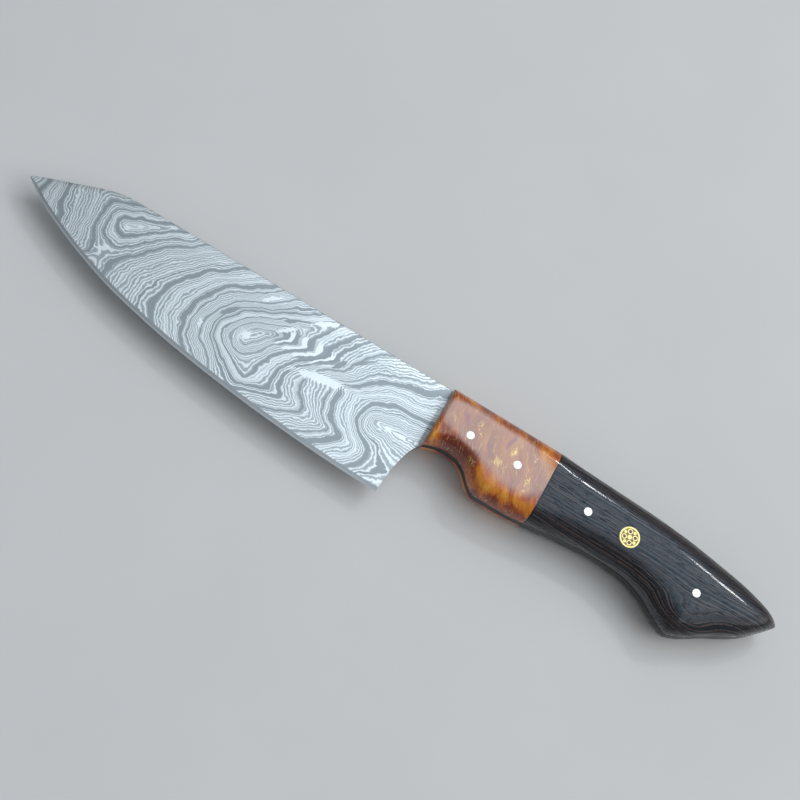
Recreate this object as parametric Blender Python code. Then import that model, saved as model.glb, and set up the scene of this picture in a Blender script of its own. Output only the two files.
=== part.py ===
"""Chef knife: a full tang blade between bolster scales of resin and handle scales of dark wood.

Metres, +Z up. The knife lies on its right side: tip toward -X, butt toward +X, spine toward +Y and
cutting edge toward -Y. The outlines are drawn in millimetres from the tip, with y = 0 on the line
from the tip to the butt, and the finished mesh is moved so that the origin is the bottom centre.
"""
import math

import bmesh
import bpy
from mathutils import Vector

MM = 0.001

# Blade
SPINE_TOP = 13.5
HEEL_X = 165.0
HEEL_Y = -34.6
PLUNGE_X = 169.6
SPINE_HALF = 1.5
TIP_HALF = 0.42
BEVEL_WIDTH = 1.5
BEVEL_HALF = 0.22
BLADE_STATIONS = 36

# Handle
BOLSTER_X = 171.0
JOINT_X = 217.0
BUTT_X = 316.5
JOINT_GAP = 0.1
FACE_Z = 9.5
GLUE = 0.15
CLEARANCE = 0.03
ROUNDING = 5.2
BUTT_ROUNDING = 5.5
FRONT_EASE = 1.1
LAND = 0.14
ROUNDING_ROWS = 6

# Pins
PIN_RADIUS = 1.6
MOSAIC_RADIUS = 3.95
MOSAIC_BORE = 3.25
MOSAIC_TURN = math.radians(19)
CENTER_ROD_RADIUS = 0.9
INNER_TUBE_RADIUS = 1.02
INNER_TUBE_BORE = 0.6
INNER_TUBE_CIRCLE = 2.08
SMALL_ROD_RADIUS = 0.62
SMALL_ROD_CIRCLE = 2.52
FINE_CLEARANCE = 0.02

# Outlines, as points that a smooth line passes through
SPINE_LINE = [(0, 0.15), (1, 0.95), (4.5, 2.5), (14, 6.3), (28, 11.6), (35, 12.9), (90, 13.15), (171, 13.45)]
EDGE_LINE = [(0, -0.15), (2.3, -1.95), (5, -3.9), (9.3, -6.5), (15, -9.3), (30, -15.6), (50, -21.9), (80, -27.8),
             (118, -32.3), (150, -34.3), (165, -34.6)]
CHOIL_LINE = [(165, -34.6), (165.3, -30), (166.1, -23.5), (168, -15.8), (169.6, -12.6), (171, -10.6)]
TOP_LINE = [(171, 13.45), (214, 13.5), (228, 12.9), (244, 12.3), (260, 11.6), (272, 10.6), (286, 8.7),
            (298, 6.7), (308, 4.0), (313.5, 1.8), (316.5, 0.1)]
BOTTOM_LINE = [(171, -10.6), (175.5, -9), (180, -8.4), (184, -8.8), (188, -10.8), (193, -15.6), (196.5, -17.5),
               (203, -17.6), (217, -16.6), (230, -14.8), (246, -13.6), (257, -14.2), (267, -17.5),
               (276, -22.5), (281, -24.6), (285.5, -23.2), (295, -17.4), (306, -11), (313, -4.6), (316.5, -0.9)]

# Pin places
BOLSTER_PINS = {"bolster_pin_front": (184.0, -0.9), "bolster_pin_rear": (204.0, -1.3)}
HANDLE_PINS = {"handle_pin_front": (234.5, -2.6), "handle_pin_rear": (283.0, -7.8)}
MOSAIC_PLACE = (252.2, -2.7)

GLUE_Z = SPINE_HALF + CLEARANCE
SCALE_Z = GLUE_Z + GLUE + CLEARANCE
ORIGIN = Vector((BUTT_X / 2, (SPINE_TOP + HEEL_Y) / 2, -FACE_Z))


def smooth_line(points):
    """Return y(x) for a smooth line through points that run in rising x and never overshoots."""
    secants = [(b[1] - a[1]) / (b[0] - a[0]) for a, b in zip(points, points[1:])]
    slopes = [secants[0]]
    for before, after in zip(secants, secants[1:]):
        turns = before * after <= 0
        slopes.append(0.0 if turns else 2 * before * after / (before + after))
    slopes.append(secants[-1])

    def height(x):
        i = 0
        while i < len(points) - 2 and x > points[i + 1][0]:
            i += 1
        (x0, y0), (x1, y1) = points[i], points[i + 1]
        span = x1 - x0
        t = min(max((x - x0) / span, 0.0), 1.0)
        bend = (1 - t) * slopes[i] * span + t * (2 * (y1 - y0) - slopes[i + 1] * span)
        return y0 + t * (1 - t) * bend + t * t * (y1 - y0)

    return height


spine_y = smooth_line(SPINE_LINE)
edge_y = smooth_line(EDGE_LINE)
choil_y = smooth_line(CHOIL_LINE)
top_y = smooth_line(TOP_LINE)
bottom_y = smooth_line(BOTTOM_LINE)


def material(name, color, roughness, metallic):
    mat = bpy.data.materials.new(name)
    mat.use_nodes = True
    shader = mat.node_tree.nodes["Principled BSDF"]
    shader.inputs["Base Color"].default_value = (*color, 1.0)
    shader.inputs["Roughness"].default_value = roughness
    shader.inputs["Metallic"].default_value = metallic
    return mat


def add_object(name, mesh, collection, mat=None):
    obj = bpy.data.objects.new(name, mesh)
    collection.objects.link(obj)
    if mat:
        mesh.materials.append(mat)
    return obj


def shade(mesh, degrees=35):
    mesh.shade_smooth()
    mesh.set_sharp_from_angle(angle=math.radians(degrees))


def to_frame(x, y, z):
    """Turn a place in millimetres from the tip into the part's own frame in metres."""
    return (Vector((x, y, z)) - ORIGIN) * MM


def loft(name, sections, collection, mat):
    """Skin a row of sections with the same number of points and close both ends."""
    bm = bmesh.new()
    rings = [[bm.verts.new(to_frame(*point)) for point in section] for section in sections]
    count = len(rings[0])
    for ring, after in zip(rings, rings[1:]):
        for i in range(count):
            j = (i + 1) % count
            bm.faces.new((ring[i], ring[j], after[j], after[i]))
    bm.faces.new(rings[0])
    bm.faces.new(rings[-1])
    bmesh.ops.recalc_face_normals(bm, faces=bm.faces)
    mesh = bpy.data.meshes.new(name)
    bm.to_mesh(mesh)
    bm.free()
    shade(mesh)
    return add_object(name, mesh, collection, mat)


def cylinder(name, place, radius, low, high, sides, collection, mat=None, turn=0.0):
    """An upright cylinder from one height to another, centred on a place of the side view."""
    bm = bmesh.new()
    bmesh.ops.create_cone(bm, cap_ends=True, segments=sides, radius1=radius * MM, radius2=radius * MM,
                          depth=(high - low) * MM)
    mesh = bpy.data.meshes.new(name)
    bm.to_mesh(mesh)
    bm.free()
    shade(mesh)
    obj = add_object(name, mesh, collection, mat)
    obj.location = to_frame(place[0], place[1], (low + high) / 2)
    obj.rotation_euler = (0, 0, turn)
    return obj


def cut(obj, cutter):
    hole = obj.modifiers.new("hole_for_" + cutter.name, "BOOLEAN")
    hole.operation = "DIFFERENCE"
    hole.solver = "EXACT"
    hole.object = cutter


def clear_scene():
    for obj in list(bpy.data.objects):
        bpy.data.objects.remove(obj, do_unlink=True)


# Stations along the handle, shared by the tang, the films and the scales so that their sides are flush
def bolster_stations():
    """Close together on the eased front, then even."""
    eased = [BOLSTER_X + FRONT_EASE * part for part in (0.0, 0.12, 0.4, 1.0)]
    even = 22
    start = eased[-1]
    end = JOINT_X - JOINT_GAP / 2
    return eased + [start + (end - start) * i / even for i in range(1, even + 1)]


def handle_stations():
    """Even at the joint and closing up toward the rounded butt."""
    steps = 38
    start = JOINT_X + JOINT_GAP / 2
    return [start + (BUTT_X - start) * math.sin(math.pi / 2 * i / steps) for i in range(steps + 1)]


def blade_half(x):
    """Half thickness at the spine: it tapers from the bolster to the tip."""
    return TIP_HALF + (SPINE_HALF - TIP_HALF) * (x / BOLSTER_X) ** 0.8


def ground_half(x, y):
    """Half thickness of the flat grind, which runs from the spine down to the edge bevel."""
    low = HEEL_Y + BEVEL_WIDTH if x > HEEL_X else edge_y(x) + BEVEL_WIDTH
    top = SPINE_TOP
    rise = min(max((y - low) / (top - low), 0.0), 1.0)
    return BEVEL_HALF + (blade_half(min(x, BOLSTER_X)) - BEVEL_HALF) * rise


def blade_section(x, top, bottom, half_top, half_low, bevel):
    """Spine, the two sides and the edge, in the order that goes round the section."""
    return [(x, top, -half_top), (x, top, half_top), (x, bottom + bevel, half_low), (x, bottom, 0.0),
            (x, bottom + bevel, -half_low)]


def build_blade(collection, mat):
    """One bar of steel: flat ground blade with an edge bevel, choil, and full tang."""
    sections = []
    for i in range(BLADE_STATIONS + 1):
        x = HEEL_X * (i / BLADE_STATIONS) ** 1.3
        top = spine_y(x)
        bottom = edge_y(x)
        bevel = min(BEVEL_WIDTH, 0.35 * (top - bottom))
        thin = min(1.0, (top - bottom) / 14)
        half_top = max(ground_half(x, top) * thin, 0.12)
        half_low = min(BEVEL_HALF, half_top * 0.9)
        sections.append(blade_section(x, top, bottom, half_top, half_low, bevel))
    for part in (0.03, 0.08, 0.2, 0.4, 0.6):
        x = HEEL_X + (BOLSTER_X - HEEL_X) * part
        bottom = choil_y(x)
        sections.append(blade_section(x, spine_y(x), bottom, blade_half(x), ground_half(x, bottom), 0.0))
    bottom = choil_y(PLUNGE_X)
    sections.append(blade_section(PLUNGE_X, spine_y(PLUNGE_X), bottom, SPINE_HALF,
                                  ground_half(PLUNGE_X, bottom), 0.0))
    for x in bolster_stations() + handle_stations():
        sections.append(blade_section(x, top_y(x), bottom_y(x), SPINE_HALF, SPINE_HALF, 0.0))
    return loft("blade_tang", sections, collection, mat)


def quarter(distance, radius):
    """A quarter ellipse that rises from the land at the rim to full height one radius inside."""
    u = min(max(distance / radius, 0.0), 1.0)
    return LAND + (1 - LAND) * math.sqrt(1 - (1 - u) ** 2)


def steepness(line, x):
    """How much longer the slanted outline is than its run in x."""
    step = 0.2
    return math.hypot(1.0, (line(x + step) - line(x - step)) / (2 * step))


def scale_section(x, front, side, end_rounding):
    """Section of a scale: flat against the tang, rounded over at the top and the bottom."""
    top = top_y(x)
    bottom = bottom_y(x)
    height = top - bottom
    lean_top = steepness(top_y, x)
    lean_bottom = steepness(bottom_y, x)
    reach = ROUNDING * (lean_top + lean_bottom)
    squeeze = min(1.0, 0.98 * height / reach)
    rounds = [1 - math.cos(math.pi / 2 * i / ROUNDING_ROWS) for i in range(ROUNDING_ROWS + 1)]
    low_rows = [bottom + ROUNDING * lean_bottom * squeeze * part for part in rounds]
    high_rows = [top - ROUNDING * lean_top * squeeze * part for part in reversed(rounds)]
    ease = 1.0
    if front:
        into = min(max((x - BOLSTER_X) / FRONT_EASE, 0.0), 1.0)
        ease = 0.88 + 0.12 * math.sqrt(1 - (1 - into) ** 2)
    if end_rounding:
        ease *= quarter(BUTT_X - x, BUTT_ROUNDING)
    rise = FACE_Z - SCALE_Z
    section = [(x, bottom, side * SCALE_Z)]
    for y in low_rows + high_rows:
        over_bottom = quarter((y - bottom) / lean_bottom, ROUNDING)
        over_top = quarter((top - y) / lean_top, ROUNDING)
        section.append((x, y, side * (SCALE_Z + rise * over_bottom * over_top * ease)))
    section.append((x, top, side * SCALE_Z))
    return section


def build_film(name, stations, side, collection, mat):
    """A film of epoxy between the tang and a scale, a little back from the rim."""
    inset = 0.1
    low = side * GLUE_Z
    high = side * (GLUE_Z + GLUE)
    run = [min(max(x, stations[0] + inset), stations[-1] - inset) for x in stations]
    sections = [[(x, bottom_y(x) + inset, low), (x, top_y(x) - inset, low), (x, top_y(x) - inset, high),
                 (x, bottom_y(x) + inset, high)] for x in run]
    return loft(name, sections, collection, mat)


def build_scales(collection, resin, wood, epoxy):
    """Left and right scales of the bolster and the handle, each on its film of epoxy."""
    cut_by_bolster = []
    cut_by_handle = []
    for side_name, side in (("left", 1), ("right", -1)):
        bolster = loft("bolster_scale_" + side_name,
                       [scale_section(x, True, side, False) for x in bolster_stations()], collection, resin)
        handle = loft("handle_scale_" + side_name,
                      [scale_section(x, False, side, True) for x in handle_stations()], collection, wood)
        bolster_bond = build_film("bond_bolster_" + side_name, bolster_stations(), side, collection, epoxy)
        handle_bond = build_film("bond_handle_" + side_name, handle_stations()[:-4], side, collection, epoxy)
        cut_by_bolster += [bolster, bolster_bond]
        cut_by_handle += [handle, handle_bond]
    return cut_by_bolster, cut_by_handle


def build_pins(tang, bolster_pieces, handle_pieces, collection, cutters, mat):
    """Plain pins right through, ground flush with both faces."""
    reach = FACE_Z + 2
    for pins, pieces in ((BOLSTER_PINS, bolster_pieces), (HANDLE_PINS, handle_pieces)):
        for name, place in pins.items():
            cylinder(name, place, PIN_RADIUS, -FACE_Z, FACE_Z, 24, collection, mat)
            cutter = cylinder(name + "_hole", place, PIN_RADIUS + CLEARANCE, -reach, reach, 24, cutters)
            for piece in [tang] + pieces:
                cut(piece, cutter)
    cutter = cylinder("mosaic_hole", MOSAIC_PLACE, MOSAIC_RADIUS + CLEARANCE, -reach, reach, 40, cutters)
    for piece in [tang] + handle_pieces:
        cut(piece, cutter)


def around(radius, angle):
    """A place on a circle round the middle of the mosaic pin."""
    return (MOSAIC_PLACE[0] + radius * math.cos(angle), MOSAIC_PLACE[1] + radius * math.sin(angle))


def build_tube(name, place, radius, bore, sides, collection, cutters, mat):
    tube = cylinder(name, place, radius, -FACE_Z, FACE_Z, sides, collection, mat)
    cut(tube, cylinder(name + "_bore", place, bore, -FACE_Z - 1, FACE_Z + 1, sides, cutters))


def build_mosaic_pin(collection, cutters, brass, dark):
    """Brass tube with a centre rod, four small tubes and four thin rods cast in dark epoxy."""
    build_tube("mosaic_tube", MOSAIC_PLACE, MOSAIC_RADIUS, MOSAIC_BORE, 40, collection, cutters, brass)
    fill = cylinder("mosaic_epoxy_fill", MOSAIC_PLACE, MOSAIC_BORE - FINE_CLEARANCE, -FACE_Z, FACE_Z, 40,
                    collection, dark)
    solid = [("mosaic_center_rod", MOSAIC_PLACE, CENTER_ROD_RADIUS, 20)]
    for i in range(4):
        tube_place = around(INNER_TUBE_CIRCLE, MOSAIC_TURN + math.pi / 2 * i)
        tube_name = "mosaic_inner_tube_%d" % (i + 1)
        build_tube(tube_name, tube_place, INNER_TUBE_RADIUS, INNER_TUBE_BORE, 20, collection, cutters, brass)
        cylinder("mosaic_tube_core_%d" % (i + 1), tube_place, INNER_TUBE_BORE - FINE_CLEARANCE,
                 -FACE_Z, FACE_Z, 20, collection, dark)
        cut(fill, cylinder(tube_name + "_seat", tube_place, INNER_TUBE_RADIUS + FINE_CLEARANCE,
                           -FACE_Z - 1, FACE_Z + 1, 20, cutters))
        rod_place = around(SMALL_ROD_CIRCLE, MOSAIC_TURN + math.pi / 4 + math.pi / 2 * i)
        solid.append(("mosaic_small_rod_%d" % (i + 1), rod_place, SMALL_ROD_RADIUS, 16))
    for name, place, radius, sides in solid:
        cylinder(name, place, radius, -FACE_Z, FACE_Z, sides, collection, brass)
        cut(fill, cylinder(name + "_seat", place, radius + FINE_CLEARANCE, -FACE_Z - 1, FACE_Z + 1, sides,
                           cutters))


def main():
    clear_scene()
    knife = bpy.data.collections.new("chef_knife")
    cutters = bpy.data.collections.new("chef_knife_cutters")
    bpy.context.scene.collection.children.link(knife)
    bpy.context.scene.collection.children.link(cutters)
    steel = material("patterned_steel", (0.42, 0.46, 0.48), 0.35, 1.0)
    resin = material("amber_resin", (0.50, 0.17, 0.03), 0.12, 0.0)
    wood = material("dark_wood", (0.06, 0.035, 0.022), 0.25, 0.0)
    epoxy = material("clear_epoxy", (0.08, 0.06, 0.04), 0.2, 0.0)
    dark = material("dark_epoxy", (0.05, 0.045, 0.02), 0.2, 0.0)
    nickel = material("nickel_silver", (0.80, 0.79, 0.75), 0.2, 1.0)
    brass = material("brass", (0.83, 0.68, 0.38), 0.22, 1.0)
    tang = build_blade(knife, steel)
    bolster_pieces, handle_pieces = build_scales(knife, resin, wood, epoxy)
    build_pins(tang, bolster_pieces, handle_pieces, knife, cutters, nickel)
    build_mosaic_pin(knife, cutters, brass, dark)
    for cutter in cutters.objects:
        cutter.hide_render = True
        cutter.display_type = "WIRE"


main()
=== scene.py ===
import math

import bmesh
import bpy
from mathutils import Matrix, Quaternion, Vector


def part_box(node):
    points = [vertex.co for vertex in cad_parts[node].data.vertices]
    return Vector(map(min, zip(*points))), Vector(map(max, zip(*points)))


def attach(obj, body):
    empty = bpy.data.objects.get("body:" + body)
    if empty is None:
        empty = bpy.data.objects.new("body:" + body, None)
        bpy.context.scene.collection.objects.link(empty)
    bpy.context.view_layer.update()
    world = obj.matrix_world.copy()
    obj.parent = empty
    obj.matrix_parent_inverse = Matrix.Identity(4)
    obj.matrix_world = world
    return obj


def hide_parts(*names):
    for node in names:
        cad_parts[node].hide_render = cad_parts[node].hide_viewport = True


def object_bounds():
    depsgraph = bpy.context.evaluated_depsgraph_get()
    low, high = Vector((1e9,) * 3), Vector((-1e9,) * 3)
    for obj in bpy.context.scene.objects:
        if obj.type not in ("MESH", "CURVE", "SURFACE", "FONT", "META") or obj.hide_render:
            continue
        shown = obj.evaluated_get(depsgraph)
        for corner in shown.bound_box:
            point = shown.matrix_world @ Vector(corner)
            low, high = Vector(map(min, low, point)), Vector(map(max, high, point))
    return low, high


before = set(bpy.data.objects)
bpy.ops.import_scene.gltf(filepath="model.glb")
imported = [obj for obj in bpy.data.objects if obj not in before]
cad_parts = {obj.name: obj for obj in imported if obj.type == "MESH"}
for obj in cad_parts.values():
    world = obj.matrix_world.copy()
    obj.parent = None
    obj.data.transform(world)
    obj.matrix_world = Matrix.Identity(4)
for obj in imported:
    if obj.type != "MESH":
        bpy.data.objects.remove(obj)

cad_low, cad_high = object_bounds()

# ---- Blade and tang ---------------------------------------------------------------------------------
# One bar of pattern-welded steel, forged from many thin layers, ground flat from spine to edge, then
# etched so that the layers show. The edge is ground and honed last, so it shows none. The tang is
# the same bar at full thickness, and it shows as a rim between the handle's scales; that rim is etched
# dark and painted darker still, almost black, as painted shade for the shadow it lies in under them.
MM = 0.001
SPINE_TOP = 13.5
HEEL = (165.0, -34.6)
PLUNGE_X = 169.6
BOLSTER_X = 171.0
JOINT_X = 217.0
BUTT_X = 316.5
SPINE_HALF = 1.5
TIP_HALF = 0.42
BEVEL_WIDTH = 1.7
BEVEL_HALF = 0.22
HONED_WIDTH = 0.75
HONED_HALF = 0.11
SPINE_EASE = 0.22
SPINE_LINE = [(0, 0.15), (1, 0.95), (4.5, 2.5), (14, 6.3), (28, 11.6), (35, 12.9), (90, 13.15),
              (171, 13.45)]
EDGE_LINE = [(0, -0.15), (2.3, -1.95), (5, -3.9), (9.3, -6.5), (15, -9.3), (30, -15.6), (50, -21.9),
             (80, -27.8), (118, -32.3), (150, -34.3), (165, -34.6)]
CHOIL_LINE = [(165, -34.6), (165.3, -30), (166.1, -23.5), (168, -15.8), (169.6, -12.6), (171, -10.6)]
TOP_LINE = [(171, 13.45), (214, 13.5), (228, 12.9), (244, 12.3), (260, 11.6), (272, 10.6), (286, 8.7),
            (298, 6.7), (308, 4.0), (313.5, 1.8), (316.5, 0.1)]
BOTTOM_LINE = [(171, -10.6), (175.5, -9), (180, -8.4), (184, -8.8), (188, -10.8), (193, -15.6),
               (196.5, -17.5), (203, -17.6), (217, -16.6), (230, -14.8), (246, -13.6), (257, -14.2),
               (267, -17.5), (276, -22.5), (281, -24.6), (285.5, -23.2), (295, -17.4), (306, -11),
               (313, -4.6), (316.5, -0.9)]
NOSE_HEIGHT = 14
NOSE_HALF = 0.12
BLADE_STEPS = 150
CHOIL_STEPS = 14
TANG_STEPS = 120
FACE_ROWS = 8
EASE_ROWS = 3
MERGE = 0.001 * MM

blade_low, blade_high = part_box("blade_tang")
bar_middle = (blade_low.z + blade_high.z) / 2


def place(x, y, z):
    """A place in millimetres from the tip, the butt line and the tang's mid-plane, in the frame."""
    return Vector((blade_low.x + x * MM, blade_high.y + (y - SPINE_TOP) * MM, bar_middle + z * MM))


def smooth_line(points):
    """y(x) along a smooth line through points that run in rising x and never overshoots."""
    secants = [(b[1] - a[1]) / (b[0] - a[0]) for a, b in zip(points, points[1:])]
    slopes = [secants[0]]
    for before, after in zip(secants, secants[1:]):
        turns = before * after <= 0
        slopes.append(0.0 if turns else 2 * before * after / (before + after))
    slopes.append(secants[-1])

    def height(x):
        i = 0
        while i < len(points) - 2 and x > points[i + 1][0]:
            i += 1
        (x0, y0), (x1, y1) = points[i], points[i + 1]
        span = x1 - x0
        t = min(max((x - x0) / span, 0.0), 1.0)
        bend = (1 - t) * slopes[i] * span + t * (2 * (y1 - y0) - slopes[i + 1] * span)
        return y0 + t * (1 - t) * bend + t * t * (y1 - y0)

    return height


spine_y = smooth_line(SPINE_LINE)
edge_y = smooth_line(EDGE_LINE)
choil_y = smooth_line(CHOIL_LINE)
top_y = smooth_line(TOP_LINE)
bottom_y = smooth_line(BOTTOM_LINE)


def shaped_grid(columns, rows, position):
    """A grid of faces whose corners are moved to position(column, row)."""
    bm = bmesh.new()
    bmesh.ops.create_grid(bm, x_segments=columns, y_segments=rows, size=1.0)
    for vert in bm.verts:
        column = round((vert.co.x + 1) / 2 * columns)
        row = round((vert.co.y + 1) / 2 * rows)
        vert.co = position(column, row)
    return bm


def finish_piece(name, bm, materials, sharp=40):
    """Turn a bmesh into a smooth shaded object; corners over the angle, and edges set sharp, stay crisp."""
    mesh = bpy.data.meshes.new(name)
    bm.to_mesh(mesh)
    bm.free()
    for mat in materials:
        mesh.materials.append(mat)
    kept = [edge.use_edge_sharp for edge in mesh.edges]
    mesh.shade_smooth()
    mesh.set_sharp_from_angle(angle=math.radians(sharp))
    for edge, was_sharp in zip(mesh.edges, kept):
        if was_sharp:
            edge.use_edge_sharp = True
    piece = bpy.data.objects.new(name, mesh)
    bpy.context.scene.collection.objects.link(piece)
    return piece


def fit(piece, node):
    """Fix a finished piece to the knife in the place of its CAD node."""
    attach(piece, "root")
    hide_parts(node)


def spine_half(x):
    """Half thickness at the spine, which tapers from the bolster to the tip."""
    return TIP_HALF + (SPINE_HALF - TIP_HALF) * (min(x, BOLSTER_X) / BOLSTER_X) ** 0.8


def ground_half(x, y):
    """Half thickness of the flat grind at a place on the side of the blade."""
    low = HEEL[1] + BEVEL_WIDTH if x > HEEL[0] else edge_y(x) + BEVEL_WIDTH
    rise = min(max((y - low) / (SPINE_TOP - low), 0.0), 1.0)
    return BEVEL_HALF + (spine_half(x) - BEVEL_HALF) * rise


def bar_section(x):
    """Bottom, top, half thickness at the foot and at the spine, and the two bevels' widths."""
    if x <= HEEL[0]:
        top = spine_y(x)
        bottom = edge_y(x)
        tall = top - bottom
        half_top = max(ground_half(x, top) * min(1.0, tall / NOSE_HEIGHT), NOSE_HALF)
        bevel = min(BEVEL_WIDTH, 0.35 * tall)
        return bottom, top, min(BEVEL_HALF, half_top * 0.9), half_top, bevel
    if x < BOLSTER_X:
        bottom = choil_y(x)
        plunge = min(max((x - PLUNGE_X) / (BOLSTER_X - PLUNGE_X), 0.0), 1.0)
        foot = ground_half(x, bottom)
        return bottom, spine_y(x), foot + (SPINE_HALF - foot) * plunge, spine_half(x), 0.0
    return bottom_y(x), top_y(x), SPINE_HALF, SPINE_HALF, 0.0


def side_path(x):
    """The left side of the bar's section from its foot to its spine, as (y, z) places."""
    bottom, top, half_low, half_top, bevel = bar_section(x)
    honed = min(HONED_WIDTH, bevel * 0.45)
    honed_half = min(HONED_HALF, half_low * 0.5) if bevel else half_low
    ease = min(SPINE_EASE, half_top * 0.5)
    path = [(bottom, 0.0), (bottom + honed, honed_half), (bottom + bevel, half_low)]
    foot = bottom + bevel
    for i in range(1, FACE_ROWS + 1):
        part = i / FACE_ROWS
        path.append((foot + (top - ease - foot) * part, half_low + (half_top - half_low) * part))
    for i in range(1, EASE_ROWS + 1):
        angle = math.pi / 2 * i / EASE_ROWS
        path.append((top - ease * (1 - math.sin(angle)), half_top - ease * (1 - math.cos(angle))))
    return path


bar_stations = [HEEL[0] * (i / BLADE_STEPS) ** 1.3 for i in range(BLADE_STEPS + 1)]
bar_stations += [HEEL[0] + (BOLSTER_X - HEEL[0]) * (i / CHOIL_STEPS) ** 1.5 for i in range(1, CHOIL_STEPS)]
bar_stations += [BOLSTER_X + (BUTT_X - BOLSTER_X) * math.sin(math.pi / 2 * i / TANG_STEPS)
                 for i in range(TANG_STEPS + 1)]
bar_paths = [side_path(x) for x in bar_stations]
side_rows = len(bar_paths[0])


def bar_place(column, row):
    """Rows go up the left side, over the spine and down the right side, back to the edge."""
    side = 1 if row < side_rows else -1
    y, z = bar_paths[column][row if row < side_rows else 2 * side_rows - 1 - row]
    return place(bar_stations[column], y, side * z)


# A face shows the etched pattern unless it is on the ground bevel or the honed edge.
BEVELLED = 1
HONED = 2
bar = shaped_grid(len(bar_stations) - 1, 2 * side_rows - 1, bar_place)
for face in bar.faces:
    middle = face.calc_center_median()
    along = (middle.x - blade_low.x) / MM
    up = (middle.y - blade_high.y) / MM + SPINE_TOP
    bottom, top, half_low, half_top, bevel = bar_section(along)
    if along < HEEL[0] and up < bottom + bevel * 0.98:
        on_edge = up < bottom + min(HONED_WIDTH, bevel * 0.45) * 0.98
        face.material_index = HONED if on_edge else BEVELLED
for edge in bar.edges:
    if len({face.material_index for face in edge.link_faces}) == 2:
        edge.smooth = False
bmesh.ops.remove_doubles(bar, verts=bar.verts, dist=MERGE)
bmesh.ops.holes_fill(bar, edges=[edge for edge in bar.edges if edge.is_boundary])
bmesh.ops.recalc_face_normals(bar, faces=bar.faces)


class Signal:
    """An output socket in a material, so that patterns are written as sums."""

    def __init__(self, recipe, socket):
        self.recipe = recipe
        self.socket = socket

    def math(self, operation, *others):
        inputs = dict(enumerate((self,) + others))
        return self.recipe.add("ShaderNodeMath", {"operation": operation}, inputs)

    def __add__(self, other):
        return self.math("ADD", other)

    def __sub__(self, other):
        return self.math("SUBTRACT", other)

    def __rsub__(self, other):
        return self.recipe.add("ShaderNodeMath", {"operation": "SUBTRACT"}, {0: other, 1: self})

    def __mul__(self, other):
        return self.math("MULTIPLY", other)

    def __truediv__(self, other):
        return self.math("DIVIDE", other)

    def __rpow__(self, other):
        return self.recipe.add("ShaderNodeMath", {"operation": "POWER"}, {0: other, 1: self})

    __radd__ = __add__
    __rmul__ = __mul__


class Recipe:
    """One material: its node tree, and the one way that a node is added to it."""

    def __init__(self, name):
        self.material = bpy.data.materials.new(name)
        self.material.use_nodes = True
        self.tree = self.material.node_tree
        self.shader = self.tree.nodes["Principled BSDF"]

    def add(self, kind, settings=None, inputs=None, output=0):
        node = self.tree.nodes.new(kind)
        for key, value in (settings or {}).items():
            if key == "stops":
                self.set_stops(node.color_ramp, value)
            else:
                setattr(node, key, value)
        self.feed(node, inputs or {})
        return Signal(self, node.outputs[output])

    def set_stops(self, ramp, stops):
        while len(ramp.elements) < len(stops):
            ramp.elements.new(1.0)
        for element, (position, color) in zip(ramp.elements, stops):
            element.position = position
            element.color = (*color, 1.0)

    def feed(self, node, inputs):
        for key, value in inputs.items():
            if isinstance(value, Signal):
                self.tree.links.new(value.socket, node.inputs[key])
            else:
                node.inputs[key].default_value = value

    def shade(self, **inputs):
        self.feed(self.shader, {key.replace("_", " "): value for key, value in inputs.items()})

    def millimetres(self):
        """The place on the piece: along from the tip, up from the butt line, out from the mid-plane."""
        point = self.add("ShaderNodeTexCoord", output="Object")
        split = self.add("ShaderNodeSeparateXYZ", None, {0: point})
        outputs = split.socket.node.outputs
        x, y, z = (Signal(self, outputs[i]) for i in range(3))
        return (x * 1000.0 - blade_low.x / MM, y * 1000.0 - (blade_high.y / MM - SPINE_TOP),
                z * 1000.0 - bar_middle / MM)

    def vector(self, x, y, z):
        return self.add("ShaderNodeCombineXYZ", None, {0: x, 1: y, 2: z})

    def noise(self, vector, scale, detail=2.0, rough=0.5, distort=0.0):
        return self.add("ShaderNodeTexNoise", None, {"Vector": vector, "Scale": scale, "Detail": detail,
                                                     "Roughness": rough, "Distortion": distort})

    def line_noise(self, along, scale, detail=2.0):
        return self.add("ShaderNodeTexNoise", {"noise_dimensions": "1D"},
                        {"W": along, "Scale": scale, "Detail": detail})

    def ease(self, value, low, high, out_low=0.0, out_high=1.0):
        """A smooth step from one level to the other as the value goes from low to high."""
        return self.add("ShaderNodeMapRange", {"interpolation_type": "SMOOTHSTEP"},
                        {0: value, 1: low, 2: high, 3: out_low, 4: out_high})

    def mix(self, factor, first, second):
        return self.add("ShaderNodeMix", {"data_type": "RGBA"}, {0: factor, 6: first, 7: second}, 2)

    def bump(self, height, distance, strength=1.0):
        return self.add("ShaderNodeBump", None,
                        {"Height": height, "Distance": distance, "Strength": strength})


# Where the bar was hammered or cut before it was ground flat, the layers show as rings and saddles:
# each place, its turn and length, how far it reaches, how soft its middle is, and the layers crossed.
PATTERN_HILLS = [
    (39, 2.7, 31, 80, 24, 1.0, -31), (95, -10, 39, 60, 20, 2.6, 30), (95, -10, 0, 1, 9, 3.0, 9),
    (152, -12.5, 4, 40, 15, 1.2, -20), (94, -37, 0, 1, 10, 2.0, 10), (158, -40, 0, 30, 12, 2.0, -16),
    (33, -21, -60, 1, 7, 2.0, -17), (45, -37, 0, 36, 12, 2.0, -20), (104, -22, -4, 44, 8, 2.0, 10),
    (126, -9.3, 11, 16, 2.4, 1.0, -3.2), (100, -4.5, 7, 33, 5, 1.2, 6), (80, -15, -60, 4, 3, 1.0, 2.5),
    (-6, 4, 0, 1, 13, 3.0, 20), (8, -13, -28, 12, 6, 2.0, 9), (16, 7, 20, 8, 5, 2.0, -5),
]
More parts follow.
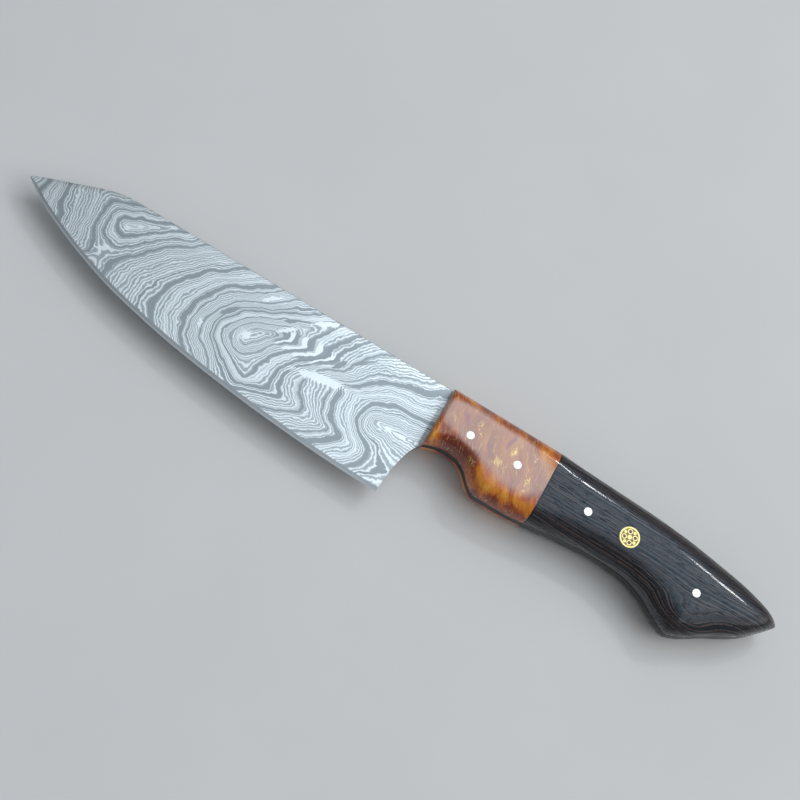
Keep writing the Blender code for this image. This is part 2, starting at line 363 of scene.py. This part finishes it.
# Bright islands, grey patches and the part where the layers lie far apart: each has a place, half
# length, half width, turn and strength.
BRIGHT_ISLANDS = [
    (127.5, -9.0, 11.0, 1.8, 11, 1.4), (95.5, -9.5, 3.6, 2.7, 40, 1), (39.4, 2.6, 1.8, 1.1, 60, 1),
    (79.7, -14, 2.2, 0.9, -60, 1), (160, -12.4, 8.0, 0.9, 4, 1), (35.8, -9.4, 2.8, 1.6, 20, 1),
    (108, 0.6, 4.6, 0.9, 40, 1.2), (119, 10.2, 6.0, 1.2, 30, 1.3), (97, 7.6, 4.6, 1.0, 38, 1.2),
]
GREY_PATCHES = [
    (130.5, -1.2, 3.6, 1.2, 66, 1), (107.8, 4.6, 3.4, 1.0, 40, 1), (138, 4.8, 6.0, 0.8, 38, 1),
    (86.5, -4.5, 4.4, 1.2, 48, 1),
]
OPEN_LAYERS = [(117, -2.2, 16.0, 5.6, 8, 1)]
# How many layers the flow crosses for each millimetre of thickness, and how the flow turns to lines.
LAYERS_THROUGH = 1.2
FINE_LINES = 2 * math.pi * 1.3
OPEN_LINES = 2 * math.pi * 0.30
BEND = 5.0
BEND_SCALE = 0.10
LAYER_STEEL_DARK = (0.27, 0.31, 0.33, 1.0)
LAYER_STEEL_BRIGHT = (0.83, 0.88, 0.90, 1.0)
# The tang's etched steel, painted almost black: part real etch, part painted shade under the scales.
TANG_ETCH_AND_SHADE_DARK = (0.03, 0.03, 0.032, 1.0)
TANG_ETCH_AND_SHADE_BRIGHT = (0.11, 0.112, 0.118, 1.0)
BEVEL_STEEL_DARK = (0.30, 0.33, 0.35, 1.0)
BEVEL_STEEL_BRIGHT = (0.44, 0.47, 0.49, 1.0)
HONED_STEEL_DARK = (0.40, 0.43, 0.45, 1.0)
HONED_STEEL_BRIGHT = (0.54, 0.57, 0.59, 1.0)


def pools(x, y, places):
    """Soft edged ovals at chosen places, added together."""
    total = x * 0.0
    for pool_x, pool_y, half_long, half_wide, turn, amount in places:
        cos, sin = math.cos(math.radians(turn)), math.sin(math.radians(turn))
        long_way = ((x - pool_x) * cos + (y - pool_y) * sin) / half_long
        wide_way = ((y - pool_y) * cos - (x - pool_x) * sin) / half_wide
        total = total + amount * (math.e ** ((long_way * long_way + wide_way * wide_way) * -1.0))
    return total


steel = Recipe("patterned_steel")
x, y, z = steel.millimetres()
drift_x = steel.noise(steel.vector(x, y, z * 2.0), BEND_SCALE, 2.0) - 0.5
drift_y = steel.noise(steel.vector(x, y, z * 2.0 + 40.0), BEND_SCALE, 2.0) - 0.5
bent_x = x + drift_x * BEND
bent_y = y + drift_y * BEND
wobble = steel.noise(steel.vector(x, y, z * 2.0), 0.45, 3.0, 0.6) - 0.5
flow = wobble * 1.3 + z * LAYERS_THROUGH
for hill_x, hill_y, turn, length, reach, soft, layers in PATTERN_HILLS:
    cos, sin = math.cos(math.radians(turn)), math.sin(math.radians(turn))
    along = (bent_x - hill_x) * cos + (bent_y - hill_y) * sin
    across = (bent_y - hill_y) * cos - (bent_x - hill_x) * sin
    past = along - along.math("MAXIMUM", 0.0).math("MINIMUM", length)
    distance = (past * past + across * across + soft * soft).math("SQRT")
    flow = flow + layers * (math.e ** (distance * (-1.0 / reach)))
jagged_x = x + wobble * 3.0
jagged_y = y + wobble * 2.0
open_area = steel.ease(pools(jagged_x, jagged_y, OPEN_LAYERS), 0.42, 0.62)
fine_lines = steel.ease((flow * FINE_LINES).math("SINE"), -0.6, 0.9)
open_lines = steel.ease((flow * OPEN_LINES).math("SINE"), 0.20, 0.60)
lines = fine_lines + (open_lines - fine_lines) * open_area
grey_bands = steel.ease(steel.line_noise(flow, 0.50, 1.0), 0.555, 0.59)
grey_bands = grey_bands.math("MAXIMUM", steel.ease(pools(jagged_x, jagged_y, GREY_PATCHES), 0.40, 0.55))
bright_bands = steel.ease(steel.line_noise(flow + 57.0, 0.46, 1.0), 0.60, 0.64)
ragged = wobble * 1.6 + fine_lines * 0.34
islands = steel.ease(pools(jagged_x, jagged_y, BRIGHT_ISLANDS) + ragged, 0.62, 0.80)
bright = (0.16 - open_area * 0.12 + lines * (0.70 + open_area * 0.25)) * (1.0 - grey_bands)
bright = bright + (1.0 - bright) * (bright_bands * 0.45).math("MAXIMUM", islands * 0.9)
speck = steel.noise(steel.vector(x, y, z), 4.0, 3.0, 0.6)
shown = steel.ease(x, BOLSTER_X - 0.5, BOLSTER_X + 0.5, 1.0, 0.0)
steel_color = steel.mix(bright * 0.9 + speck * 0.24 - 0.06, LAYER_STEEL_DARK, LAYER_STEEL_BRIGHT)
# Behind the bolster the steel turns to the tang's dark etch with painted shade laid over it.
tang_etch_and_shade_color = steel.mix(bright, TANG_ETCH_AND_SHADE_DARK, TANG_ETCH_AND_SHADE_BRIGHT)
steel_color = steel.mix(shown, tang_etch_and_shade_color, steel_color)
steel.shade(Base_Color=steel_color, Metallic=0.9, Roughness=0.37 - bright * 0.06 + speck * 0.06,
            Normal=steel.bump(bright * 0.6 + speck * 0.25, 0.00003, 0.5))

ground = Recipe("ground_bevel")
x, y, z = ground.millimetres()
scratch = ground.noise(ground.vector(x * 9.0, y * 0.9, z), 1.0, 3.0)
ground.shade(Base_Color=ground.mix(scratch, BEVEL_STEEL_DARK, BEVEL_STEEL_BRIGHT), Metallic=1.0,
             Roughness=0.3 + scratch * 0.15, Normal=ground.bump(scratch, 0.00002, 0.4))

honed = Recipe("honed_edge")
x, y, z = honed.millimetres()
scratch = honed.noise(honed.vector(x * 6.0, y * 1.5, z), 1.0, 3.0)
honed.shade(Base_Color=honed.mix(scratch, HONED_STEEL_DARK, HONED_STEEL_BRIGHT), Metallic=0.9,
            Roughness=0.45 + scratch * 0.15, Normal=honed.bump(scratch, 0.00001, 0.3))

blade = finish_piece("blade_and_tang", bar, [steel.material, ground.material, honed.material])
fit(blade, "blade_tang")

# ---- Pins -------------------------------------------------------------------------------------------
# Four plain pins of nickel silver go right through the scales and the tang. They are glued, cut off
# and ground flush, so each shows as a bright disc with a hair of dark glue round it.
PIN_RADIUS = 1.6
PIN_BREAK = 0.06
PIN_SIDES = 48
NICKEL_BRIGHT = (0.80, 0.81, 0.80, 1.0)
NICKEL_DULL = (0.68, 0.69, 0.68, 1.0)
PIN_PLACES = {"bolster_pin_front": (184.0, -0.9), "bolster_pin_rear": (204.0, -1.3),
              "handle_pin_front": (234.5, -2.6), "handle_pin_rear": (283.0, -7.8)}
face_half = (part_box("handle_scale_left")[1].z - bar_middle) / MM


def turned(centre, profile, sides, ring=True):
    """A bmesh spun from (radius, height) places round an upright axis; a ring's profile is a loop."""
    bm = bmesh.new()
    axis_place = place(centre[0], centre[1], 0.0)
    verts = [bm.verts.new(axis_place + Vector((radius, 0.0, height)) * MM) for radius, height in profile]
    nexts = verts[1:] + verts[:1] if ring else verts[1:]
    edges = [bm.edges.new(pair) for pair in zip(verts, nexts)]
    bmesh.ops.spin(bm, geom=verts + edges, cent=axis_place, axis=(0, 0, 1), angle=2 * math.pi,
                   steps=sides, use_merge=True)
    bmesh.ops.remove_doubles(bm, verts=bm.verts, dist=MERGE)
    bmesh.ops.recalc_face_normals(bm, faces=bm.faces)
    return bm


def turned_rod(centre, radius, half, sides, corner):
    """A solid rod with its corners just broken: a half profile that starts and ends on the axis."""
    profile = [(0.0, -half), (radius - corner, -half), (radius, corner - half), (radius, half - corner),
               (radius - corner, half), (0.0, half)]
    return turned(centre, profile, sides, ring=False)


nickel = Recipe("nickel_silver")
x, y, z = nickel.millimetres()
sanding = nickel.noise(nickel.vector(x * 1.2, y * 14.0, z), 1.0, 3.0)
stain = nickel.noise(nickel.vector(x, y, z), 0.9, 2.0)
nickel.shade(Base_Color=nickel.mix(stain, NICKEL_BRIGHT, NICKEL_DULL), Metallic=1.0,
             Roughness=0.3 + sanding * 0.16, Normal=nickel.bump(sanding, 0.00001, 0.3))
for name, pin_place in PIN_PLACES.items():
    rod = turned_rod(pin_place, PIN_RADIUS, face_half, PIN_SIDES, PIN_BREAK)
    fit(finish_piece(name + "_turned", rod, [nickel.material]), name)

# ---- Mosaic pin -------------------------------------------------------------------------------------
# A brass tube packed with a centre rod, four small tubes and four thin rods, cast in dark epoxy, then
# sliced and polished. The small tubes are filled with the same epoxy, which shows as dark dots.
MOSAIC_PLACE = (252.2, -2.7)
MOSAIC_TUBE = (3.95, 3.25)
MOSAIC_TURN = math.radians(19)
CENTER_ROD_RADIUS = 0.9
INNER_TUBE = (1.02, 0.6)
INNER_TUBE_CIRCLE = 2.08
CORE_RADIUS = 0.58
SMALL_ROD_RADIUS = 0.62
SMALL_ROD_CIRCLE = 2.52
BRASS_BRIGHT = (0.84, 0.72, 0.34, 1.0)
BRASS_DULL = (0.70, 0.54, 0.20, 1.0)
DARK_EPOXY = [(0.13, 0.075, 0.065, 1.0), (0.06, 0.035, 0.035, 1.0)]
OLIVE_EPOXY = [(0.30, 0.24, 0.05, 1.0), (0.16, 0.13, 0.03, 1.0)]

brass = Recipe("polished_brass")
x, y, z = brass.millimetres()
sanding = brass.noise(brass.vector(x * 2.0, y * 12.0, z), 1.0, 3.0)
tarnish = brass.noise(brass.vector(x, y, z), 1.4, 3.0)
brass.shade(Base_Color=brass.mix(tarnish, BRASS_BRIGHT, BRASS_DULL), Metallic=1.0,
            Roughness=0.3 + sanding * 0.15, Normal=brass.bump(sanding, 0.00001, 0.3))


def cast_epoxy(name, colors):
    """Epoxy clouded between two colours, polished with the pin."""
    recipe = Recipe(name)
    x, y, z = recipe.millimetres()
    cloud = recipe.noise(recipe.vector(x, y, z), 2.2, 3.0)
    recipe.shade(Base_Color=recipe.mix(cloud, *colors), Roughness=0.3 + cloud * 0.1,
                 Coat_Weight=0.4 + cloud * 0.1)
    return recipe


dark_epoxy = cast_epoxy("dark_cast_epoxy", DARK_EPOXY)
olive_epoxy = cast_epoxy("olive_cast_epoxy", OLIVE_EPOXY)


def tube_profile(radius, bore, half, corner):
    """The closed half profile of a tube, with both rims just broken."""
    return [(bore, corner - half), (bore + corner, -half), (radius - corner, -half),
            (radius, corner - half), (radius, half - corner), (radius - corner, half),
            (bore + corner, half), (bore, half - corner)]


def around(radius, angle):
    """A place on a circle round the middle of the mosaic pin."""
    return (MOSAIC_PLACE[0] + radius * math.cos(angle), MOSAIC_PLACE[1] + radius * math.sin(angle))


outer_tube = turned(MOSAIC_PLACE, tube_profile(*MOSAIC_TUBE, face_half, 0.05), 64)
fit(finish_piece("mosaic_outer_tube", outer_tube, [brass.material]), "mosaic_tube")
middle_rod = turned_rod(MOSAIC_PLACE, CENTER_ROD_RADIUS, face_half, 32, 0.03)
fit(finish_piece("mosaic_middle_rod", middle_rod, [brass.material]), "mosaic_center_rod")
for i in range(4):
    tube_place = around(INNER_TUBE_CIRCLE, MOSAIC_TURN + math.pi / 2 * i)
    rod_place = around(SMALL_ROD_CIRCLE, MOSAIC_TURN + math.pi / 4 + math.pi / 2 * i)
    number = str(i + 1)
    ring_tube = turned(tube_place, tube_profile(*INNER_TUBE, face_half, 0.03), 32)
    fit(finish_piece("mosaic_ring_tube_" + number, ring_tube, [brass.material]),
        "mosaic_inner_tube_" + number)
    core = turned_rod(tube_place, CORE_RADIUS, face_half, 24, 0.02)
    fit(finish_piece("mosaic_dark_core_" + number, core, [dark_epoxy.material]),
        "mosaic_tube_core_" + number)
    thin_rod = turned_rod(rod_place, SMALL_ROD_RADIUS, face_half, 24, 0.02)
    fit(finish_piece("mosaic_thin_rod_" + number, thin_rod, [brass.material]),
        "mosaic_small_rod_" + number)
fill_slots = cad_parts["mosaic_epoxy_fill"].data.materials
fill_slots.clear()
fill_slots.append(olive_epoxy.material)

# ---- Bolster scales ---------------------------------------------------------------------------------
# Two slabs of cast amber resin with swirled gold pearl, glued and pinned in front of the wood. They
# are sanded round at the top and the finger groove, with an eased front, and buffed to a deep gloss.
JOINT_GAP = 0.1
CLEARANCE = 0.03
GLUE_FILM = 0.15
SCALE_Z = SPINE_HALF + 2 * CLEARANCE + GLUE_FILM
TOP_ROUNDING = smooth_line([(171, 6.3), (215, 7.0), (228, 8.4), (260, 9.2), (290, 10.5), (316.5, 7.0)])
BOTTOM_ROUNDING = smooth_line([(171, 2.8), (178, 4.4), (187, 5.2), (196, 6.2), (217, 8.5), (236, 12.0),
                               (258, 12.0), (270, 14.5), (284, 17.0), (300, 13.0), (316.5, 7.0)])
TOP_SOFTNESS = 2.2
BOTTOM_SOFTNESS = smooth_line([(171, 2.3), (205, 2.7), (235, 3.8), (316.5, 4.0)])
BUTT_ROUNDING = 12.0
BUTT_SOFTNESS = 4.0
FRONT_EASE = 1.6
FRONT_THIN = 0.80
LAND = 0.14
ROUNDING_ROWS = 16
FLAT_ROWS = 6


def quarter(distance, radius, softness):
    """How thick a rounded rim is at a distance in from its outline; 1 is the flat's full height."""
    u = min(max(distance / radius, 0.0), 1.0)
    return LAND + (1 - LAND) * math.sqrt(1 - (1 - u) ** softness)


def steepness(line, x):
    """How much longer the slanted outline is than its run in x."""
    step = 0.2
    return math.hypot(1.0, (line(x + step) - line(x - step)) / (2 * step))


def scale_column(x, ease):
    """The outer skin of a scale at one station, from its lower rim to its upper rim."""
    top, bottom = top_y(x), bottom_y(x)
    lean_top, lean_bottom = steepness(top_y, x), steepness(bottom_y, x)
    wide_top, wide_bottom = TOP_ROUNDING(x) * lean_top, BOTTOM_ROUNDING(x) * lean_bottom
    squeeze = min(1.0, 0.96 * (top - bottom) / (wide_top + wide_bottom))
    rounds = [1 - math.cos(math.pi / 2 * i / ROUNDING_ROWS) for i in range(ROUNDING_ROWS + 1)]
    low_rows = [bottom + wide_bottom * squeeze * part for part in rounds]
    high_rows = [top - wide_top * squeeze * part for part in reversed(rounds)]
    gap = high_rows[0] - low_rows[-1]
    flat_rows = [low_rows[-1] + gap * i / FLAT_ROWS for i in range(1, FLAT_ROWS)]
    column = []
    for y in low_rows + flat_rows + high_rows:
        over = quarter(y - bottom, wide_bottom, BOTTOM_SOFTNESS(x))
        over *= quarter(top - y, wide_top, TOP_SOFTNESS)
        column.append((y, SCALE_Z + (face_half - SCALE_Z) * over * ease))
    return column


def scale_piece(name, stations, eases, side, recipe, node, holes):
    """Skin, rim and flat back of a scale, with its pin holes bored through and fitted to the tang."""
    columns = [scale_column(x, ease) for x, ease in zip(stations, eases)]
    rows = len(columns[0]) - 1
    bm = shaped_grid(len(stations) - 1, rows,
                     lambda i, j: place(stations[i], columns[i][j][0], side * columns[i][j][1]))
    rim = [edge for edge in bm.edges if edge.is_boundary]
    made = bmesh.ops.extrude_edge_only(bm, edges=rim)["geom"]
    back = [item for item in made if isinstance(item, bmesh.types.BMVert)]
    for vert in back:
        vert.co.z = bar_middle + side * SCALE_Z * MM
    bmesh.ops.holes_fill(bm, edges=[edge for edge in bm.edges if edge.is_boundary])
    bmesh.ops.recalc_face_normals(bm, faces=bm.faces)
    piece = finish_piece(name, bm, [recipe.material], sharp=50)
    for centre, radius in holes:
        drill = finish_piece("drill", turned_rod(centre, radius + CLEARANCE, face_half + 2, 48, 0.01), [])
        bore = piece.modifiers.new("bore", "BOOLEAN")
        bore.operation = "DIFFERENCE"
        bore.solver = "EXACT"
        bore.object = drill
        depsgraph = bpy.context.evaluated_depsgraph_get()
        bored = bpy.data.meshes.new_from_object(piece.evaluated_get(depsgraph))
        piece.modifiers.clear()
        piece.data = bored
        bpy.data.objects.remove(drill)
    piece.data.set_sharp_from_angle(angle=math.radians(35))
    fit(piece, node)


# Where more pearl, less dye (or more, below zero) or a thread of violet was poured, and where a pale pink
# sheen is painted over the flat face as painted reflection: place, half length, half width, turn and
# strength.
PEARL_POOLS = [
    (196.8, -4.6, 4.6, 1.5, 8, 1), (189.5, -8.3, 2.4, 1.1, -30, 1), (200.9, 2.0, 2.6, 1.2, 80, 1),
    (186.8, 3.4, 3.6, 1.2, -62, 1), (208.8, 4.6, 3.4, 1.0, -70, 1), (210.3, -6.0, 5.0, 1.1, -84, 1),
]
DYE_POOLS = [
    (182.5, -6.8, 7.0, 3.2, -6, -0.28), (173.2, -7.5, 2.4, 4.0, 0, 0.16), (199, 1.0, 24, 8.0, 0, 0.06),
    (205.5, -13.6, 9.0, 2.2, 3, 0.16), (203, -17.2, 14, 1.2, 0, -0.14), (186, 12.2, 4.0, 1.6, 0, -0.20),
    (205, 12.2, 3.5, 1.6, 0, -0.16), (178.8, 12, 3.0, 1.5, 0, 0.14), (211.5, 12, 3.0, 1.5, 0, 0.12),
]
PAINTED_SHEEN_POOLS = [(182, 3.4, 15, 6.5, -6, 1), (205, -1.2, 16, 10.5, -2, 1)]
VIOLET_POOLS = [
    (198.7, 5.0, 4.4, 0.9, 78, 1), (180.4, 3.6, 4.4, 1.3, -54, 1), (212.5, 0.0, 6.0, 0.8, -84, 0.7),
]
PAINTED_SHEEN_COLOR = (0.55, 0.385, 0.34, 1.0)
VIOLET_COLOR = (0.40, 0.20, 0.30, 1.0)
THREAD_COLOR = (0.80, 0.60, 0.30, 1.0)
PEARL_COLOR = (0.84, 0.64, 0.22, 1.0)
RESIN_JOINT_COLOR = (0.01, 0.008, 0.006, 1.0)
SWIRL = 6.0
SWIRL_SCALE = 0.13
STREAK_COS = 0.95
STREAK_SIN = 0.31

resin = Recipe("amber_pearl_resin")
x, y, z = resin.millimetres()
roll = resin.noise(resin.vector(x, y, z * 0.6), SWIRL_SCALE, 2.0) - 0.5
curl = resin.noise(resin.vector(x, y, z * 0.6 + 30.0), SWIRL_SCALE, 2.0) - 0.5
swirl_x = x + roll * SWIRL
swirl_y = y + curl * SWIRL
across = swirl_x * STREAK_COS + swirl_y * STREAK_SIN
along = swirl_y * STREAK_COS - swirl_x * STREAK_SIN
fold = resin.noise(resin.vector(across * 0.24, along * 0.075, z * 0.12), 1.0, 2.0, 0.5, 0.3)
streak = resin.noise(resin.vector(across * 0.95, along * 0.12, z * 0.2), 1.0, 3.0, 0.6, 0.4)
grain = resin.noise(resin.vector(x, y, z), 1.5, 4.0, 0.65)
flakes = resin.ease(resin.noise(resin.vector(across * 1.7, along * 0.9, z), 1.0, 4.0, 0.7), 0.46, 0.62)
near_x = x + roll * 4.0 + grain * 1.6 - 0.8
near_y = y + curl * 4.0 + grain * 1.6 - 0.8
fine_streak = resin.noise(resin.vector(across * 1.9, along * 0.22, z * 0.3), 1.0, 3.0, 0.6, 0.5)
threads = resin.ease(fine_streak, 0.56, 0.68)
pearl = (resin.ease(pools(near_x, near_y, PEARL_POOLS), 0.25, 0.8) + threads * 0.45) * flakes
violet = resin.ease(pools(near_x, near_y, VIOLET_POOLS), 0.25, 0.9)
depth = fold * 0.75 + streak * 0.30 + grain * 0.12 - 0.10 + pools(near_x, near_y, DYE_POOLS)
amber = resin.add("ShaderNodeValToRGB", {"stops": [
    (0.22, (0.17, 0.015, 0.001)), (0.38, (0.26, 0.034, 0.0015)), (0.50, (0.50, 0.11, 0.004)),
    (0.62, (0.70, 0.24, 0.012)), (0.80, (0.86, 0.46, 0.06))]}, {0: depth})
# Painted reflection: a pale pink haze over the flat faces, in place of the bright sky mirrored in the
# gloss.
painted_sheen = resin.ease(pools(near_x, near_y, PAINTED_SHEEN_POOLS), 0.30, 0.62)
amber = resin.mix(painted_sheen * 0.66, amber, PAINTED_SHEEN_COLOR)
amber = resin.mix(violet * 0.62, amber, VIOLET_COLOR)
amber = resin.mix(threads * 0.34, amber, THREAD_COLOR)
amber = resin.mix(pearl * 0.75, amber, PEARL_COLOR)
joint = resin.ease(x, JOINT_X - 0.40, JOINT_X - 0.25)
amber = resin.mix(joint, amber, RESIN_JOINT_COLOR)
resin.shade(Base_Color=amber, Metallic=0.2 + pearl * 0.4, Roughness=0.46 - pearl * 0.1,
            Coat_Weight=0.95 + grain * 0.05, Normal=resin.bump(grain, 0.00002, 0.12))
resin.shade(Coat_Roughness=0.08, Coat_IOR=1.5, Specular_IOR_Level=0.25)

bolster_end = JOINT_X - JOINT_GAP / 2
bolster_steps = 90
front_steps = 8
bolster_stations = [BOLSTER_X + FRONT_EASE * (i / front_steps) ** 1.6 for i in range(front_steps)]
bolster_stations += [BOLSTER_X + FRONT_EASE + (bolster_end - BOLSTER_X - FRONT_EASE) * i / bolster_steps
                     for i in range(bolster_steps + 1)]
bolster_eases = []
for station in bolster_stations:
    into = min((station - BOLSTER_X) / FRONT_EASE, 1.0)
    bolster_eases.append(FRONT_THIN + (1 - FRONT_THIN) * math.sqrt(1 - (1 - into) ** 2))
bolster_holes = [(PIN_PLACES["bolster_pin_front"], PIN_RADIUS),
                 (PIN_PLACES["bolster_pin_rear"], PIN_RADIUS)]
for side_name, side in (("left", 1), ("right", -1)):
    scale_piece("resin_bolster_" + side_name, bolster_stations, bolster_eases, side, resin,
                "bolster_scale_" + side_name, bolster_holes)

# ---- Handle scales ----------------------------------------------------------------------------------
# Two slabs of dark, open-grained hardwood in which near-black and brown layers alternate. They are
# carved round a palm swell and a hooked butt, filled with oil and buffed until they shine.
KNOT = (284.0, -20.0)
KNOT_HALF = (17.0, 10.0)
KNOT_RINGS = 20.0
RINGS_UP = 2.2
RINGS_OUT = 0.4
PORE_COLOR = (0.002, 0.002, 0.002, 1.0)
WOOD_JOINT_COLOR = (0.004, 0.004, 0.004, 1.0)

wood = Recipe("dark_hardwood")
x, y, z = wood.millimetres()
slow = wood.noise(wood.vector(x * 0.018, y * 0.05, z * 0.05), 1.0, 2.0) - 0.5
ripple = wood.noise(wood.vector(x * 0.06, y * 0.35, z * 0.35), 1.0, 3.0) - 0.5
knot_x = (x - KNOT[0]) / KNOT_HALF[0]
knot_y = (y - KNOT[1]) / KNOT_HALF[1]
knot = math.e ** ((knot_x * knot_x + knot_y * knot_y) * -1.0)
rings = y * RINGS_UP + z * RINGS_OUT + slow * 9.0 + ripple * 1.7 + knot * KNOT_RINGS
band = wood.ease(wood.line_noise(rings, 1.0, 2.0), 0.40, 0.62)
seams = wood.ease(wood.line_noise(rings + 31.0, 0.62, 1.0), 0.40, 0.58)
fibre = wood.noise(wood.vector(x * 0.14, y * 4.6, z * 4.6), 1.0, 4.0, 0.7)
pore = wood.noise(wood.vector(x * 0.24, y * 3.4, z * 3.4 + 9.0), 1.0, 1.0)
pores = wood.ease(pore, 0.60, 0.66)
tone = band * 0.55 + fibre * 0.5 - 0.02
brown = wood.add("ShaderNodeValToRGB", {"stops": [
    (0.25, (0.003, 0.003, 0.003)), (0.45, (0.009, 0.007, 0.006)), (0.62, (0.040, 0.023, 0.016)),
    (0.80, (0.090, 0.052, 0.036))]}, {0: tone})
brown = wood.mix(pores * 0.9, brown, PORE_COLOR)
joint = wood.ease(x, JOINT_X + 0.15, JOINT_X + 0.30, 1.0, 0.0)
brown = wood.mix(joint, brown, WOOD_JOINT_COLOR)
wood.shade(Base_Color=brown, Roughness=0.36 + fibre * 0.15,
           Coat_Weight=(0.45 + seams * 0.48) * (1.0 - pores),
           Normal=wood.bump(fibre * 0.35 - pores, 0.00005, 0.3))
wood.shade(Specular_IOR_Level=0.35, Coat_Roughness=0.10, Coat_IOR=1.48)
# A blue specular tint paints the blue of a sky reflection into the wood's sheen: painted reflection colour.
wood.shade(Specular_Tint=(0.35, 0.65, 1.0, 1.0))

handle_start = JOINT_X + JOINT_GAP / 2
handle_steps = 170
handle_stations = [handle_start + (BUTT_X - handle_start) * math.sin(math.pi / 2 * i / handle_steps)
                   for i in range(handle_steps + 1)]
handle_eases = [quarter(BUTT_X - station, BUTT_ROUNDING, BUTT_SOFTNESS) for station in handle_stations]
handle_holes = [(PIN_PLACES["handle_pin_front"], PIN_RADIUS),
                (PIN_PLACES["handle_pin_rear"], PIN_RADIUS), (MOSAIC_PLACE, MOSAIC_TUBE[0])]
for side_name, side in (("left", 1), ("right", -1)):
    scale_piece("wood_scale_" + side_name, handle_stations, handle_eases, side, wood,
                "handle_scale_" + side_name, handle_holes)

# ---- Glue films -------------------------------------------------------------------------------------
# Epoxy between the tang and each scale. Only its rim shows, as a thin dark line round the handle.
GLUE_COLORS = [(0.05, 0.035, 0.02, 1.0), (0.02, 0.014, 0.01, 1.0)]

glue = Recipe("glue_film")
x, y, z = glue.millimetres()
smear = glue.noise(glue.vector(x, y, z), 1.2, 3.0)
glue.shade(Base_Color=glue.mix(smear, *GLUE_COLORS), Roughness=0.3 + smear * 0.2)
for name in ("bond_bolster_left", "bond_bolster_right", "bond_handle_left", "bond_handle_right"):
    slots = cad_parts[name].data.materials
    slots.clear()
    slots.append(glue.material)

# ---- Table, lights and camera -----------------------------------------------------------------------
# A plain pale table top that the knife lies on, a large soft box beyond the spine, two small lamps
# that draw thin highlights on the polish, a soft fill past the butt, and a camera that looks down
# from the edge side.
FLOOR_SIZE = 10.0
FLOOR_COLORS = [(0.72, 0.725, 0.73, 1.0), (0.78, 0.785, 0.79, 1.0)]
AIM = (156.0, 0.2, 0.0)
CAMERA_DISTANCE = 0.6194
TOWARD_CAMERA = Vector((-0.034, -0.3586, 0.9329))
CAMERA_ROLL = math.radians(36.3)
CAMERA_LENS = 76.5

bm = bmesh.new()
bmesh.ops.create_grid(bm, x_segments=8, y_segments=8, size=FLOOR_SIZE / 2)
bmesh.ops.translate(bm, verts=bm.verts, vec=(0.0, 0.0, cad_low.z))
table = Recipe("pale_table")
point = table.add("ShaderNodeTexCoord", output="Object")
mottle = table.noise(point, 14.0, 3.0)
table.shade(Base_Color=table.mix(mottle, *FLOOR_COLORS), Roughness=0.85)
floor = finish_piece("table_top", bm, [table.material])


def soft_box(name, direction, distance, size, power, color, spread=180):
    """A lamp that faces the knife; a grid on its front narrows its beam to the spread, in degrees."""
    data = bpy.data.lights.new(name, "AREA")
    data.shape = "RECTANGLE"
    data.size, data.size_y = size
    data.energy = power
    data.color = color
    data.spread = math.radians(spread)
    lamp = bpy.data.objects.new(name, data)
    toward = Vector(direction).normalized()
    lamp.location = place(*AIM) + toward * distance
    lamp.rotation_euler = toward.to_track_quat("Z", "Y").to_euler()
    bpy.context.scene.collection.objects.link(lamp)


soft_box("sky_box", (0.17, 0.45, 0.88), 1.6, (1.3, 2.0), 1.9, (0.80, 0.91, 1.0), 64)
soft_box("front_strip", (0.214, 0.603, 0.769), 1.2, (0.05, 0.08), 0.75, (1.0, 1.0, 1.0))
soft_box("rear_strip", (0.381, 0.567, 0.730), 1.2, (0.04, 0.08), 0.45, (1.0, 1.0, 1.0))
soft_box("fill_box", (0.75, 0.12, 0.65), 1.6, (1.6, 1.6), 3.6, (1.0, 0.99, 0.97), 90)
world = bpy.data.worlds.new("studio")
world.use_nodes = True
room_light = world.node_tree.nodes["Background"]
room_light.inputs["Color"].default_value = (0.94, 0.97, 1.0, 1.0)
room_light.inputs["Strength"].default_value = 0.30
bpy.context.scene.world = world
bpy.context.scene.view_settings.view_transform = "Standard"

camera_data = bpy.data.cameras.new("camera")
camera_data.lens = CAMERA_LENS
camera_data.sensor_width = 36.0
camera_data.clip_start = 0.01
camera = bpy.data.objects.new("camera", camera_data)
camera.location = place(*AIM) + TOWARD_CAMERA.normalized() * CAMERA_DISTANCE
roll = Quaternion((0.0, 0.0, 1.0), CAMERA_ROLL)
camera.rotation_euler = (TOWARD_CAMERA.to_track_quat("Z", "Y") @ roll).to_euler()
bpy.context.scene.collection.objects.link(camera)
bpy.context.scene.camera = camera
